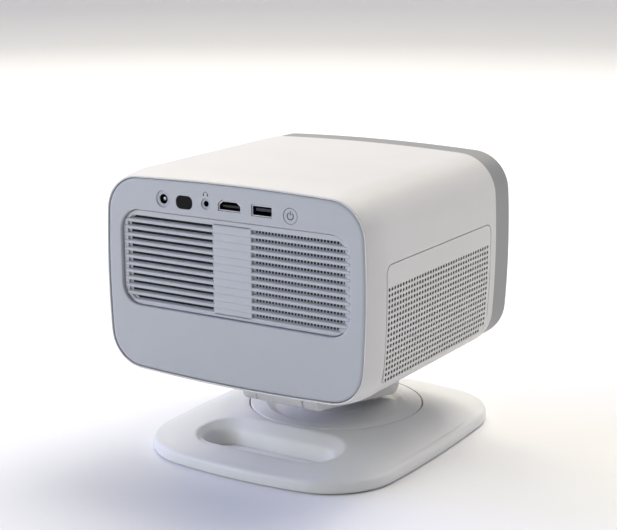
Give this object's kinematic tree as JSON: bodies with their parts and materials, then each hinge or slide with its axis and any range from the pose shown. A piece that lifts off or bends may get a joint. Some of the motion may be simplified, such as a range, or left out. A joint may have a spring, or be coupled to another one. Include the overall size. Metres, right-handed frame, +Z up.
{
  "type": "table projector on a folding stand",
  "caption": "Rounded box projector with louvred rear, side speaker covers and a dark front window, on a swivelling, folding arm and a flat base with a hand slot.",
  "frame": {"origin": "on the table, under the middle of the base outline, which is the bottom centre of the whole part", "axes": "+Z up; the lens looks along -Y; the ports and vents are on the +Y side; the head is level and in line with the base at rest"},
  "size_m": [0.1854, 0.207, 0.1802],
  "materials": {
    "shell_white": "fine matt",
    "panel_grey": "fine matt",
    "ring_grey": "satin",
    "base_white": "fine matt",
    "steel_plate": "brushed",
    "dark_rubber": "matt",
    "slide_plastic": "smooth",
    "arm_alloy": "painted satin",
    "pin_steel": "ground",
    "dark_gloss": "gloss",
    "inner_black": "matt",
    "optical_glass": "coated",
    "fin_alloy": "raw",
    "pipe_copper": "plated",
    "socket_metal": "nickel plated",
    "board_green": "solder mask",
    "driver_steel": "painted"
  },
  "bodies": {
    "base": {"base_shell": "base_white", "base_weight": "steel_plate", "base_plate": "base_white", "foot_pads": "dark_rubber", "swivel_spindle": "pin_steel", "swivel_slip_ring": "slide_plastic", "swivel_cap": "base_white"},
    "turntable": {"turntable_disc": "base_white"},
    "arm": {"lift_arm": "arm_alloy", "lift_pin": "pin_steel", "tilt_pin": "pin_steel"},
    "head": {"tilt_leaf": "arm_alloy", "head_shell": "shell_white", "front_ring": "ring_grey", "front_window": "dark_gloss", "front_frame": "inner_black", "lens_bezel": "inner_black", "lens_barrel": "inner_black", "front_lens": "optical_glass", "rear_lens": "optical_glass", "focus_camera": "dark_gloss", "distance_sensor": "dark_gloss", "speaker_cover_right": "shell_white", "speaker_cover_left": "shell_white", "speaker_right": "driver_steel", "speaker_left": "driver_steel", "light_engine": "inner_black", "cooling_fins": "fin_alloy", "heat_pipes": "pipe_copper", "rear_louvre": "panel_grey", "rear_panel": "panel_grey", "dc_jack": "socket_metal", "ir_window": "dark_gloss", "audio_jack": "socket_metal", "video_port": "socket_metal", "data_port": "socket_metal", "button_switch": "inner_black", "main_board": "board_green", "board_parts": "inner_black", "fan_frame": "inner_black"},
    "power_button": {"power_button": "panel_grey"},
    "fan_rotor": {"fan_rotor": "inner_black"}
  },
  "joints": [
    {"name": "base_swivel", "type": "hinge", "parent": "base", "child": "turntable", "pos_m": [0, -0.0153, 0.012], "axis": [0, 0, 1], "range_deg": [-180, 180]},
    {"name": "arm_lift", "type": "hinge", "parent": "turntable", "child": "arm", "pos_m": [0, -0.044, 0.0246], "axis": [1, 0, 0], "range_deg": [-9, 40]},
    {"name": "head_tilt", "type": "hinge", "parent": "arm", "child": "head", "pos_m": [0, 0.0422, 0.042], "axis": [-1, 0, 0], "range_deg": [-9, 40]},
    {"name": "power_press", "type": "slide", "parent": "head", "child": "power_button", "axis": [0, -1, 0], "range_m": [0, 0.0006], "stiffness_N_per_m": 600, "springref_m": -0.0004},
    {"name": "fan_spin", "type": "hinge", "parent": "head", "child": "fan_rotor", "pos_m": [0.044, 0.088, 0.1266], "axis": [0, 1, 0], "continuous": true}
  ]
}
